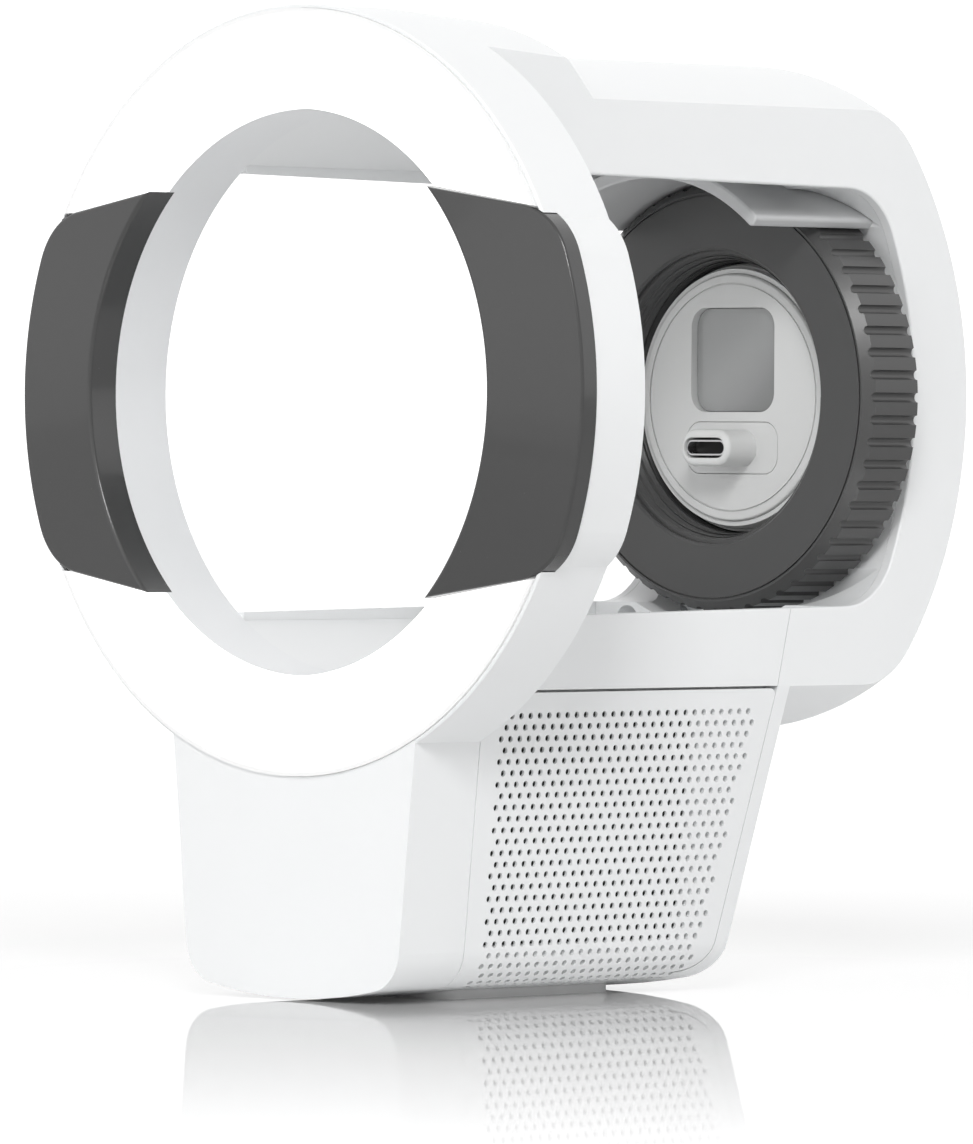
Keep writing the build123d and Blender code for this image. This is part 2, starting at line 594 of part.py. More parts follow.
def bulkhead():
    """Wall behind the wheel. Its rim carries on the windows' back edge, and its boss carries the hub."""
    half_w = INNER_HALF_W - FIT
    section = Circle(LINER_R) & flat_sides(half_w)
    blank = along_y(section, WHEEL_FRONT, DEPTH)
    wall = along_x(window_outline(WINDOW_WALL) - window_outline(), WIDE / 2)
    rim = wall - rod(HOOD_IN_R + HOOD_WALL + FIT, 0, BULKHEAD_FRONT)
    rim -= rod(RETAINER_R + RETAINER_GAP, 0, DEPTH)
    rim -= tube(LINER_BORE_R - FIT, LINER_R + 1, 0, BULKHEAD_FRONT)
    plate = rod(LINER_R, BULKHEAD_FRONT, BULKHEAD_BACK) - along_x(window_outline(), WIDE / 2)
    plate += rod(BEARING_R, BULKHEAD_FRONT, BULKHEAD_BACK)
    body = (rim + plate) & blank
    body -= rod(HUB_R + BEARING_FIT, 0, DEPTH)
    for x, z in four(BULKHEAD_SCREW_X, BULKHEAD_SCREW_Z):
        body -= rod(SCREW_R + FIT, 0, DEPTH, x, z)
        body -= rod(SCREW_HEAD_R + FIT, 0, BULKHEAD_FRONT + SCREW_HEAD_T, x, z)
    return body


def thrust_washer():
    return tube(HUB_R + RUN, BEARING_R, WHEEL_BACK + RUN, BULKHEAD_FRONT)


# ---------------------------------------------------------------- focus wheel
def focus_wheel():
    """Fluted rim, flat face with a line groove, and a hub that runs through the bulkhead."""
    shoulder = WHEEL_FRONT + WHEEL_CHAMFER
    mouth = WHEEL_FRONT + BORE_CHAMFER
    wheel = turned((NUT_R, mouth), (NUT_R + BORE_CHAMFER, WHEEL_FRONT), (WHEEL_FACE_R, WHEEL_FRONT),
                   (WHEEL_R, shoulder), (WHEEL_R, WHEEL_BACK), (HUB_R, WHEEL_BACK), (HUB_R, HUB_BACK),
                   (NUT_R, HUB_BACK))
    round_end = WHEEL_FRONT + WHEEL_CHAMFER / 2 + FLUTE_R
    centre_r = WHEEL_R + FLUTE_R - FLUTE_DEPTH
    flute = rod(FLUTE_R, round_end, WHEEL_BACK + 1) + Pos(0, round_end, 0) * Sphere(FLUTE_R)
    wheel -= [Rot(0, 360 / FLUTES * i, 0) * Pos(centre_r, 0, 0) * flute for i in range(FLUTES)]
    return wheel - tube(WHEEL_LINE_R - FACE_LINE, WHEEL_LINE_R, WHEEL_FRONT - 1, WHEEL_FRONT + FACE_LINE)


def threaded_nut():
    """Sleeve pressed into the wheel; its thread drives the barrel."""
    return tube(NUT_BORE_R, NUT_R, WHEEL_FRONT + BORE_CHAMFER, HUB_BACK)


def wheel_retainer():
    """Ring pressed on the hub behind the bulkhead."""
    front = BULKHEAD_BACK + RUN
    return tube(HUB_R, RETAINER_R, front, front + RETAINER_T)


# ---------------------------------------------------------------- dock
def rounded(width, height, radius, z=0.0):
    return Pos(0, z) * RectangleRounded(width, height, radius)


def stadium(width, height, z=0.0):
    return Pos(0, z) * SlotOverall(width, height)


def threaded_barrel():
    """Barrel that slides on the guide pins. The ledge inside it seats the disc."""
    barrel = tube(BARREL_BORE_R, BARREL_R, BARREL_FRONT, BARREL_BACK)
    ledge = tube(BARREL_BORE_R - BARREL_LEDGE, BARREL_BORE_R + FIT, DISC_BACK, DISC_BACK + BARREL_LEDGE)
    return barrel + ledge


def dock_disc():
    """Front of the dock with its line groove, recess opening and pocket for the connector plate."""
    disc = rod(DISC_R, DISC_FRONT, DISC_BACK)
    front_edge = disc.edges().filter_by(GeomType.CIRCLE).sort_by(Axis.Y)[0]
    disc = fillet(front_edge, DISC_EDGE_R)
    disc -= tube(DISC_LINE_R - FACE_LINE, DISC_LINE_R, 0, DISC_FRONT + FACE_LINE)
    disc -= along_y(rounded(RECESS_W, RECESS_H, RECESS_CORNER_R, RECESS_Z), 0, DEPTH)
    pocket = rounded(PLATE_W + 2 * FIT, PLATE_H + 2 * FIT, PLATE_CORNER_R + FIT, PLATE_Z)
    disc -= along_y(pocket, 0, DISC_FRONT + PLATE_T)
    return disc - along_y(stadium(PLUG_W + 2 * FIT, PLUG_H + 2 * FIT, PLATE_Z), 0, DEPTH)


def recess_cup():
    """Window that closes the recess. It is held from behind by its flange."""
    gap = 2 * FIT
    window = rounded(RECESS_W - gap, RECESS_H - gap, RECESS_CORNER_R - FIT, RECESS_Z)
    flange = rounded(RECESS_W, RECESS_H, RECESS_CORNER_R, RECESS_Z)
    flange = offset(flange, RECESS_FLANGE) & Circle(BARREL_BORE_R - BARREL_LEDGE - FIT)
    front = along_y(window, DISC_FRONT + RECESS_DEPTH, DISC_BACK)
    return front + along_y(flange, DISC_BACK, DISC_BACK + RECESS_FLANGE)


def connector_plate():
    """Inset plate with the forward boss that shields the plug."""
    plate = along_y(rounded(PLATE_W, PLATE_H, PLATE_CORNER_R, PLATE_Z), DISC_FRONT, DISC_FRONT + PLATE_T)
    boss = along_y(stadium(BOSS_W, BOSS_H, PLATE_Z), BOSS_FRONT, DISC_FRONT + 0.1)
    boss = fillet(boss.faces().sort_by(Axis.Y)[0].edges(), BOSS_EDGE_R)
    opening = stadium(PLUG_W + PLUG_GAP, PLUG_H + 2 * PLUG_GAP, PLATE_Z)
    solid = plate + boss - along_y(opening, 0, DISC_FRONT - 1)
    return solid - along_y(stadium(PLUG_W + FIT, PLUG_H + FIT, PLATE_Z), 0, DEPTH)


def plug_shell():
    outer = stadium(PLUG_W, PLUG_H, PLATE_Z)
    inner = stadium(PLUG_W - 2 * PLUG_WALL, PLUG_H - 2 * PLUG_WALL, PLATE_Z)
    return along_y(outer - inner, PLUG_FRONT, DOCK_BOARD_FRONT)


def plug_core():
    wall = PLUG_WALL + FIT / 4
    return along_y(stadium(PLUG_W - 2 * wall, PLUG_H - 2 * wall, PLATE_Z), PLUG_CORE_FRONT, DOCK_BOARD_FRONT)


def dock_board():
    outline = Circle(BARREL_BORE_R - BARREL_LEDGE)
    for x in (-GUIDE_X, GUIDE_X):
        outline -= Pos(x, 0) * Circle(GUIDE_R + GUIDE_GAP)
    return along_y(outline, DOCK_BOARD_FRONT, CARRIER_FRONT)


def dock_carrier():
    """Disc that closes the barrel and slides on the guide pins."""
    outline = Circle(DISC_R)
    for x in (-GUIDE_X, GUIDE_X):
        outline -= Pos(x, 0) * Circle(GUIDE_R + GUIDE_SLIDE)
    return along_y(outline, CARRIER_FRONT, CARRIER_BACK)


def guide_pins():
    return both(rod(GUIDE_R, GUIDE_FRONT, GUIDE_BACK, GUIDE_X))


# ---------------------------------------------------------------- fasteners
def screw(x, z, y, length):
    """Screw driven towards +Y with the front of its head at y."""
    shank = y + SCREW_HEAD_T
    return rod(SCREW_HEAD_R, y, shank, x, z) + rod(SCREW_R, shank, shank + length, x, z)


def frame_screws():
    return Part() + [screw(x, z, LED_CHANNEL_FLOOR, SCREW_LENGTH) for x, z in four(SCREW_X, SCREW_Z)]


def bulkhead_screws():
    places = four(BULKHEAD_SCREW_X, BULKHEAD_SCREW_Z)
    return Part() + [screw(x, z, BULKHEAD_FRONT, BULKHEAD_SCREW_LENGTH) for x, z in places]


# ---------------------------------------------------------------- inside the stand
def chassis():
    """Tray on the ribs, with cheeks for the speakers and posts for the main board."""
    top = CHASSIS_Z + CHASSIS_T
    tray = block(-CHASSIS_HALF_W, CHASSIS_HALF_W, CHASSIS_FRONT, CHASSIS_BACK, CHASSIS_Z, top)
    cheek = block(CHASSIS_HALF_W - CHEEK_T, CHASSIS_HALF_W, CHEEK_FRONT, CHEEK_BACK, CHASSIS_Z, CHEEK_TOP)
    tray += both(cheek)
    for y in (CHASSIS_FRONT + POST_INSET, CHASSIS_BACK - POST_INSET):
        post = Pos(POST_X, y, (top + BOARD_Z) / 2) * Cylinder(POST_R, BOARD_Z - top)
        tray += both(post)
    return tray


def battery():
    low = CHASSIS_Z + CHASSIS_T
    half = BATTERY_HALF_W
    pack = block(-half, half, BATTERY_FRONT, BATTERY_BACK, low, low + BATTERY_H)
    return fillet(pack.edges().filter_by(Axis.Y), BATTERY_EDGE_R)


def main_board():
    half = BOARD_HALF_W
    return block(-half, half, CHASSIS_FRONT, CHASSIS_BACK, BOARD_Z, BOARD_Z + BOARD_T)


def speaker(side):
    """Round driver with a cone dish that faces the grille."""
    face = Plane(origin=(CHASSIS_HALF_W, SPEAKER_Y, SPEAKER_Z), x_dir=(0, 1, 0), z_dir=(1, 0, 0))
    body = extrude(face * Circle(SPEAKER_R), amount=SPEAKER_T)
    depth = SPEAKER_T / 2
    dish = face * Pos(0, 0, SPEAKER_T - depth / 2) * Rot(180, 0, 0)
    body -= dish * Cone(DISH_RIM_R, DISH_HUB_R, depth)
    return body if side > 0 else mirror(body, Plane.YZ)


def foot_pad():
    pad_block = block(-FOOT_HALF_W, FOOT_HALF_W, FOOT_FRONT, FOOT_BACK, -AXIS_HEIGHT, -AXIS_HEIGHT + FOOT_T)
    return fillet(pad_block.edges().filter_by(Axis.Z), FOOT_CORNER_R)


# ---------------------------------------------------------------- the part
PIECES = {
    "front_frame": front_frame,
    "bore_sleeve": bore_sleeve,
    "diffuser_upper": lambda: diffuser(True),
    "diffuser_lower": lambda: diffuser(False),
    "led_board_upper": lambda: led_board(True),
    "led_board_lower": lambda: led_board(False),
    "side_pad_left": lambda: pad(-1),
    "side_pad_right": lambda: pad(1),
    "pad_board_left": lambda: pad_board(-1),
    "pad_board_right": lambda: pad_board(1),
    "main_housing": main_housing,
    "lower_beam": lower_beam,
    "grille_shell": grille_shell,
    "tunnel_liner_upper": lambda: bore_liner(True),
    "tunnel_liner_lower": lambda: bore_liner(False),
    "wheel_hood_upper": wheel_hood_upper,
    "bulkhead": bulkhead,
    "thrust_washer": thrust_washer,
    "focus_wheel": focus_wheel,
    "threaded_nut": threaded_nut,
    "wheel_retainer": wheel_retainer,
    "threaded_barrel": threaded_barrel,
    "dock_disc": dock_disc,
    "recess_cup": recess_cup,
    "connector_plate": connector_plate,
    "plug_shell": plug_shell,
    "plug_core": plug_core,
    "dock_board": dock_board,
    "dock_carrier": dock_carrier,
    "guide_pins": guide_pins,
    "frame_screws": frame_screws,
    "bulkhead_screws": bulkhead_screws,
    "chassis": chassis,
    "battery": battery,
    "main_board": main_board,
    "speaker_left": lambda: speaker(-1),
    "speaker_right": lambda: speaker(1),
    "foot_pad": foot_pad,
}

put = Pos(0, -(PAD_FRONT_IN + DEPTH) / 2, AXIS_HEIGHT)

if __name__ == "__main__":
    os.makedirs("parts", exist_ok=True)
    for name, make in PIECES.items():
        export_step(put * make(), f"parts/{name}.step")
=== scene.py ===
# %% [markdown]
# # A desk-top phoropter head
# The real object is a moulded instrument: a lit ring with two dark pads, a tunnel through it with
# side windows, a fluted focus wheel around a small dock, and a stand with a perforated grille.
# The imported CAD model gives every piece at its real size. Here it gets its finishes, its grille
# holes and its threads, and a plain studio around it.

# %% Load the frame
import json
import math

import bmesh
import bpy
from mathutils import Matrix, Vector


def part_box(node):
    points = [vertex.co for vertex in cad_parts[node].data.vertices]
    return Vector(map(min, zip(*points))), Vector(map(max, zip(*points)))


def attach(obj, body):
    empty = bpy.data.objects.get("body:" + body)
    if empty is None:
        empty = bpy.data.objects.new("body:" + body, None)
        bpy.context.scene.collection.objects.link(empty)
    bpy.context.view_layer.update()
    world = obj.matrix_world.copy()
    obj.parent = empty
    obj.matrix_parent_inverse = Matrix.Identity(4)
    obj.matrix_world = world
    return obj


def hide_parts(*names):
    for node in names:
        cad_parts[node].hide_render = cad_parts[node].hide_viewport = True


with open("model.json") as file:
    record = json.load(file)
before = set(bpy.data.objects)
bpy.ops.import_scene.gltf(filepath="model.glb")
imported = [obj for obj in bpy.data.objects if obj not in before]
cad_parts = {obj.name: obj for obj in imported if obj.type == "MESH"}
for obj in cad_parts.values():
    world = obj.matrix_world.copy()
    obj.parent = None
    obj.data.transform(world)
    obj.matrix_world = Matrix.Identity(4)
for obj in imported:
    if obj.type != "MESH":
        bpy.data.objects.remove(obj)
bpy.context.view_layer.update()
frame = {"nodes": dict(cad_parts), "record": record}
nodes = frame["nodes"]
MM = 0.001
print("CAD nodes:", len(nodes))

# %% [markdown]
# The places below are counted from two things that the CAD nodes give: the optical axis, which
# runs along Y through the middle of the focus wheel, and the lit face of the ring. A point is named
# by how far it is to the right, how deep behind the lit face, and how high above the axis. Places
# in the room's own frame would need no helper, but nobody could measure them on the real object.

# %% Places taken from the frame
wheel_low, wheel_high = (Vector(corner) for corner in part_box("focus_wheel"))
AXIS_HEIGHT = (wheel_low.z + wheel_high.z) / 2
FACE_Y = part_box("diffuser_upper")[0][1]


def place(x, depth, height):
    """Point in the row frame, from millimetres right of, behind and above the lit face's centre."""
    return Vector((x * MM, FACE_Y + depth * MM, AXIS_HEIGHT + height * MM))


print("axis height", round(AXIS_HEIGHT / MM, 2), "mm, lit face at y", round(FACE_Y / MM, 2), "mm")

# %% [markdown]
# The camera stands far away with a long lens, 45 degrees to the right of the lit face and level
# with the tunnel, which keeps the upright edges upright. Blender could aim it with a Track To
# constraint. Here its three axes are worked out from its turn, tilt and roll instead, so that the
# view rests on plain numbers and on nothing else.

# %% Camera
CAMERA_LENS = 370.0                 # millimetres
CAMERA_SENSOR = 36.0
CAMERA_SEES = (0.05, 20.0)          # nearest and farthest, in metres
CAMERA_TURN = math.radians(44.765)
CAMERA_TILT = math.radians(0.702)
CAMERA_ROLL = math.radians(0.343)
CAMERA_PLACE = place(1073.727, -1041.224, -8.382)

look = Vector((-math.sin(CAMERA_TURN) * math.cos(CAMERA_TILT),
               math.cos(CAMERA_TURN) * math.cos(CAMERA_TILT),
               -math.sin(CAMERA_TILT)))
level = Vector((math.cos(CAMERA_TURN), math.sin(CAMERA_TURN), 0))
upright = level.cross(look)
right = level * math.cos(CAMERA_ROLL) + upright * math.sin(CAMERA_ROLL)
up = upright * math.cos(CAMERA_ROLL) - level * math.sin(CAMERA_ROLL)
camera = bpy.data.objects.new("camera", bpy.data.cameras.new("camera"))
bpy.context.scene.collection.objects.link(camera)
camera.data.sensor_fit = "HORIZONTAL"
camera.data.sensor_width = CAMERA_SENSOR
camera.data.lens = CAMERA_LENS
camera.data.clip_start, camera.data.clip_end = CAMERA_SEES
camera.matrix_world = Matrix((
    (right.x, up.x, -look.x, CAMERA_PLACE.x),
    (right.y, up.y, -look.y, CAMERA_PLACE.y),
    (right.z, up.z, -look.z, CAMERA_PLACE.z),
    (0, 0, 0, 1)))
bpy.context.scene.camera = camera
bpy.context.scene.view_settings.view_transform = "Standard"
print("camera", round(CAMERA_PLACE.length, 2), "m from the object, lens", CAMERA_LENS, "mm")

# %% [markdown]
# Node trees are long to write out by hand, so a small helper adds a node, fills its inputs by
# name, and links any input that is given another node's output. It serves shaders and geometry.


# %% Node helper
class Wiring:
    def __init__(self, tree):
        self.tree = tree

    def feed(self, socket, value):
        if isinstance(value, bpy.types.NodeSocket):
            self.tree.links.new(value, socket)
        elif value is not None:
            socket.default_value = value

    def add(self, kind, settings=None, **inputs):
        """New node. Inputs are named in lower case with underscores, or in_0, in_1 by position."""
        node = self.tree.nodes.new(kind)
        for name, value in (settings or {}).items():
            setattr(node, name, value)
        for name, value in inputs.items():
            if name.startswith("in_"):
                self.feed(node.inputs[int(name[3:])], value)
                continue
            wanted = name.replace("_", " ")
            socket = next(s for s in node.inputs if s.enabled and s.name.lower() == wanted)
            self.feed(socket, value)
        return node

    def math(self, operation, a, b=None, c=None):
        kind = "ShaderNodeMath"
        return self.add(kind, {"operation": operation}, in_0=a, in_1=b, in_2=c).outputs[0]


def new_material(name, colour, roughness, **shader):
    """Material with one Principled shader whose plain values sit on the shader's own sockets."""
    material = bpy.data.materials.new(name)
    material.use_nodes = True
    principled = material.node_tree.nodes["Principled BSDF"]
    principled.inputs["Base Color"].default_value = (*colour, 1)
    principled.inputs["Roughness"].default_value = roughness
    for key, value in shader.items():
        principled.inputs[key.replace("_", " ").title()].default_value = value
    return material, Wiring(material.node_tree), principled


# %% [markdown]
# Moulded plastic is never a flat colour: the tool leaves a fine spark texture, and the resin
# mottles very slightly. An image texture could carry both, but it would need a UV map on every
# piece. One shader group makes them from object coordinates instead, so every plastic here can
# share it with its own grain size and strength.

# %% Moulded surface group
CLOUD_SCALE = 35.0                  # mottled patches about 30 mm across
ROUGHNESS_SWING = 0.12

moulded = bpy.data.node_groups.new("moulded surface", "ShaderNodeTree")
for name, kind in (("Colour", "NodeSocketColor"), ("Grain size", "NodeSocketFloat"),
                   ("Mottle", "NodeSocketFloat"), ("Roughness", "NodeSocketFloat")):
    moulded.interface.new_socket(name, in_out="INPUT", socket_type=kind)
for name, kind in (("Colour", "NodeSocketColor"), ("Roughness", "NodeSocketFloat"),
                   ("Height", "NodeSocketFloat")):
    moulded.interface.new_socket(name, in_out="OUTPUT", socket_type=kind)
w = Wiring(moulded)
given = w.add("NodeGroupInput").outputs
where = w.add("ShaderNodeTexCoord").outputs["Object"]
grain = w.add("ShaderNodeTexNoise", vector=where, scale=w.math("DIVIDE", 1.0, given["Grain size"]),
              detail=2.0, roughness=0.6).outputs["Fac"]
cloud = w.add("ShaderNodeTexNoise", vector=where, scale=CLOUD_SCALE, detail=3.0).outputs["Fac"]
swing = w.math("MULTIPLY", w.math("SUBTRACT", cloud, 0.5), given["Mottle"])
shade = w.math("ADD", 1.0, swing)
tint = w.add("ShaderNodeVectorMath", {"operation": "SCALE"}, in_0=given["Colour"], scale=shade)
rough_swing = w.math("MULTIPLY", w.math("SUBTRACT", grain, 0.5), ROUGHNESS_SWING)
rough = w.math("ADD", given["Roughness"], rough_swing)
w.add("NodeGroupOutput", colour=tint.outputs[0], roughness=rough, height=grain)


def moulded_plastic(name, colour, roughness, grain_mm=0.25, grain_depth_mm=0.004, mottle=0.03,
                    **shader):
    """Plastic with the moulded surface group wired into its colour, roughness and bump."""
    material, wiring, principled = new_material(name, colour, roughness, **shader)
    surface = wiring.add("ShaderNodeGroup", {"node_tree": moulded}, colour=(*colour, 1),
                         grain_size=grain_mm * MM, mottle=mottle, roughness=roughness)
    bump = wiring.add("ShaderNodeBump", strength=1.0, distance=grain_depth_mm * MM,
                      height=surface.outputs["Height"])
    wiring.feed(principled.inputs["Base Color"], surface.outputs["Colour"])
    wiring.feed(principled.inputs["Roughness"], surface.outputs["Roughness"])
    wiring.feed(principled.inputs["Normal"], bump.outputs["Normal"])
    return material


# %% [markdown]
# The finishes. The outer shells share one satin white, and the pieces inside the tunnel are a
# little greyer. The pads are smooth and dark under a thin clear coat, which draws the bright line
# along their edges. The wheel is a drier dark grey. Each finish is one call, so that the colours
# can be compared and tuned side by side.

# %% Finishes
finish = {
    "shell_white": moulded_plastic("satin white shell", (0.86, 0.87, 0.875), 0.38),
    "sleeve_grey": moulded_plastic("satin tunnel sleeve", (0.80, 0.81, 0.82), 0.35),
    "liner_white": moulded_plastic("satin tunnel liner", (0.82, 0.83, 0.835), 0.38),
    "hood_grey": moulded_plastic("wheel hood grey", (0.53, 0.535, 0.54), 0.34),
    "pad_dark": moulded_plastic("dark pad", (0.037, 0.037, 0.037), 0.24, grain_mm=0.4,
                                grain_depth_mm=0.0010, mottle=0.06, coat_weight=0.25,
                                coat_roughness=0.05),
    "wheel_dark": moulded_plastic("dark wheel", (0.059, 0.059, 0.059), 0.34, mottle=0.08),
    "dock_white": moulded_plastic("dock white", (0.68, 0.685, 0.68), 0.42),
    "contact_black": moulded_plastic("contact black", (0.012, 0.012, 0.012), 0.35),
    "inner_black": moulded_plastic("inner black", (0.03, 0.03, 0.03), 0.55),
    "battery_wrap": moulded_plastic("cell wrap", (0.04, 0.07, 0.16), 0.30),
    "circuit_board": moulded_plastic("solder mask", (0.02, 0.12, 0.06), 0.30),
    "foot_rubber": moulded_plastic("pale foot rubber", (0.72, 0.72, 0.72), 0.70,
                                   grain_depth_mm=0.01),
    "dock_window": moulded_plastic("tinted window", (0.36, 0.365, 0.365), 0.18,
                                   grain_depth_mm=0.0005),
}
# The plug's tongue is matt all over, or its front would mirror the bright room.
tongue_shader = finish["contact_black"].node_tree.nodes["Principled BSDF"]
tongue_shader.inputs["Specular IOR Level"].default_value = 0.15

# %% [markdown]
# The screws and the guide pins are bright steel. A metal shows little but what it mirrors, so what
# makes it look like steel is how sharp its mirror image is. One plain roughness would look like
# chrome. A fine noise makes some spots rougher, as on parts that were tumbled to take off burrs.

# %% Steel
STEEL_GRAIN_SCALE = 900.0           # tumbled screws and pins, grain about 1 mm
STEEL_ROUGHNESS = 0.16              # where the grain is smoothest, and twice that at its roughest
finish["steel"], w, steel_shader = new_material("bright steel", (0.62, 0.62, 0.63), 0.24,
                                                Metallic=1.0)
steel_grain = w.add("ShaderNodeTexNoise", vector=w.add("ShaderNodeTexCoord").outputs["Object"],
                    scale=STEEL_GRAIN_SCALE, detail=2.0).outputs["Fac"]
w.feed(steel_shader.inputs["Roughness"],
       w.math("MULTIPLY_ADD", steel_grain, STEEL_ROUGHNESS, STEEL_ROUGHNESS))

# %% [markdown]
# The lit face is milky plastic in front of a board of small lamps. It could be lit by real lamps
# behind it, which renders slowly and noisily, so the face itself glows. It goes dim in its last
# millimetre, where the lamp board behind it ends, and that draws the ring's edge.

# %% Lit face
GLOW = 1.15
GLOW_ENDS = (1.5, 0.4)              # millimetres inside the rim where it starts and stops fading
finish["diffuser"] = moulded_plastic("lit diffuser", (0.9, 0.9, 0.9), 0.5, mottle=0.01)
lit = finish["diffuser"].node_tree.nodes["Principled BSDF"]
lit.inputs["Emission Strength"].default_value = GLOW
DIFFUSER_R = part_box("diffuser_upper")[1][2] - AXIS_HEIGHT
w = Wiring(finish["diffuser"].node_tree)
spot = w.add("ShaderNodeSeparateXYZ", vector=w.add("ShaderNodeTexCoord").outputs["Object"]).outputs
upward = w.math("SUBTRACT", spot["Z"], AXIS_HEIGHT)
squares = w.math("ADD", w.math("MULTIPLY", spot["X"], spot["X"]),
                 w.math("MULTIPLY", upward, upward))
from_axis = w.math("SQRT", squares)
edge_dim = w.add("ShaderNodeMapRange", {"interpolation_type": "SMOOTHSTEP"}, value=from_axis,
                 from_min=DIFFUSER_R - GLOW_ENDS[0] * MM, from_max=DIFFUSER_R - GLOW_ENDS[1] * MM,
                 to_min=1.0, to_max=0.0)
w.feed(lit.inputs["Emission Color"], edge_dim.outputs["Result"])
print("lit face radius", round(DIFFUSER_R / MM, 2), "mm")

# %% [markdown]
# The small window over the dock's sensor is smooth tinted plastic. A painted shade makes it darker
# towards its lower right corner, standing in for the parts behind it showing through a little. A
# gradient over the object coordinates paints that without modelling what lies behind.

# %% Dock window
WINDOW_SHADE = (-8, 9)              # millimetres along the slope from pale to dark
WINDOW_DARKEST = 0.62
window_shader = finish["dock_window"].node_tree.nodes["Principled BSDF"]
w = Wiring(finish["dock_window"].node_tree)
spot = w.add("ShaderNodeSeparateXYZ", vector=w.add("ShaderNodeTexCoord").outputs["Object"]).outputs
across = w.math("SUBTRACT", spot["X"], w.math("SUBTRACT", spot["Z"], AXIS_HEIGHT))
# Painted shade: the window's colour grows darker towards its lower right corner.
painted_darkening = w.add("ShaderNodeMapRange", {"interpolation_type": "SMOOTHSTEP"}, value=across,
                  from_min=WINDOW_SHADE[0] * MM, from_max=WINDOW_SHADE[1] * MM, to_min=1.0,
                  to_max=WINDOW_DARKEST).outputs["Result"]
plain = window_shader.inputs["Base Color"].links[0].from_socket
painted_dark_corner = w.add("ShaderNodeVectorMath", {"operation": "SCALE"}, in_0=plain, scale=painted_darkening)
w.feed(window_shader.inputs["Base Color"], painted_dark_corner.outputs[0])

# %% [markdown]
# The CAD record says which finish each piece has, by a slot's name. The finishes above carry the
# same names, so one loop dresses every CAD piece and none can be forgotten.

# %% Dress the CAD pieces
slot_of = {part["node"]: part["material_slot"] for part in frame["record"]["subparts"]}
for name, node in nodes.items():
    node.data.materials.clear()
    node.data.materials.append(finish[slot_of[name]])
print("finishes:", len(finish), "on", len(slot_of), "pieces")

# %% [markdown]
# Repeated detail is made with Geometry Nodes: each group has named sizes as its inputs, runs once
# on an object that is already in place, and its result is kept as one plain mesh for one body.
# Every group ends alike. It makes its instances real, smooths the gentle edges only, so that
# rounds look round and corners stay crisp, and gives the material.


# %% Geometry helpers
def geometry_group(name, inputs):
    """Geometry group that takes and gives a geometry. Inputs are pairs of a name and a kind."""
    tree = bpy.data.node_groups.new(name, "GeometryNodeTree")
    tree.interface.new_socket("Geometry", in_out="INPUT", socket_type="NodeSocketGeometry")
    for label, kind in inputs:
        tree.interface.new_socket(label, in_out="INPUT", socket_type="NodeSocket" + kind)
    tree.interface.new_socket("Geometry", in_out="OUTPUT", socket_type="NodeSocketGeometry")
    wiring = Wiring(tree)
    return wiring, wiring.add("NodeGroupInput").outputs


SMOOTH_BELOW = math.radians(35)


def end_group(wiring, geometry, material):
    """Makes instances real, smooths the gentle edges only, gives the material, closes the group."""
    real = wiring.add("GeometryNodeRealizeInstances", geometry=geometry).outputs[0]
    angle = wiring.add("GeometryNodeInputMeshEdgeAngle").outputs["Unsigned Angle"]
    gentle = wiring.add("FunctionNodeCompare", {"operation": "LESS_THAN"}, in_0=angle,
                        in_1=SMOOTH_BELOW).outputs[0]
    faces = wiring.add("GeometryNodeSetShadeSmooth", {"domain": "FACE"}, geometry=real,
                       shade_smooth=True)
    edges = wiring.add("GeometryNodeSetShadeSmooth", {"domain": "EDGE"}, geometry=faces.outputs[0],
                       shade_smooth=gentle)
    dressed = wiring.add("GeometryNodeSetMaterial", geometry=edges.outputs[0], material=material)
    wiring.add("NodeGroupOutput", geometry=dressed.outputs[0])


def run_group(obj, tree, values):
    """Runs a geometry group on the object once and keeps what it makes as the object's mesh."""
    modifier = obj.modifiers.new(tree.name, "NODES")
    modifier.node_group = tree
    for item in tree.interface.items_tree:
        if item.in_out == "INPUT" and item.name in values:
            modifier[item.identifier] = values[item.name]
    scene_state = bpy.context.evaluated_depsgraph_get()
    made = bpy.data.meshes.new_from_object(obj.evaluated_get(scene_state))
    obj.modifiers.remove(modifier)
    obj.data = made
    made.name = obj.name
    return obj


def new_object(name, mesh):
    """Object in the scene for a mesh that is already in place."""
    obj = bpy.data.objects.new(name, mesh)
    bpy.context.scene.collection.objects.link(obj)
    return obj


MERGE_WITHIN = 1e-6                 # metres


def merged_copy(name, node_name):
    """Copy of a CAD node's mesh in place, with its loose triangles joined into one skin."""
    node = nodes[node_name]
    skin = bmesh.new()
    skin.from_mesh(node.data)
    skin.transform(node.matrix_world)
    bmesh.ops.remove_doubles(skin, verts=skin.verts, dist=MERGE_WITHIN)
    bmesh.ops.recalc_face_normals(skin, faces=skin.faces)
    mesh = bpy.data.meshes.new(name)
    skin.to_mesh(mesh)
    skin.free()
    return new_object(name, mesh)


def triangles(obj):
    return sum(len(face.vertices) - 2 for face in obj.data.polygons)
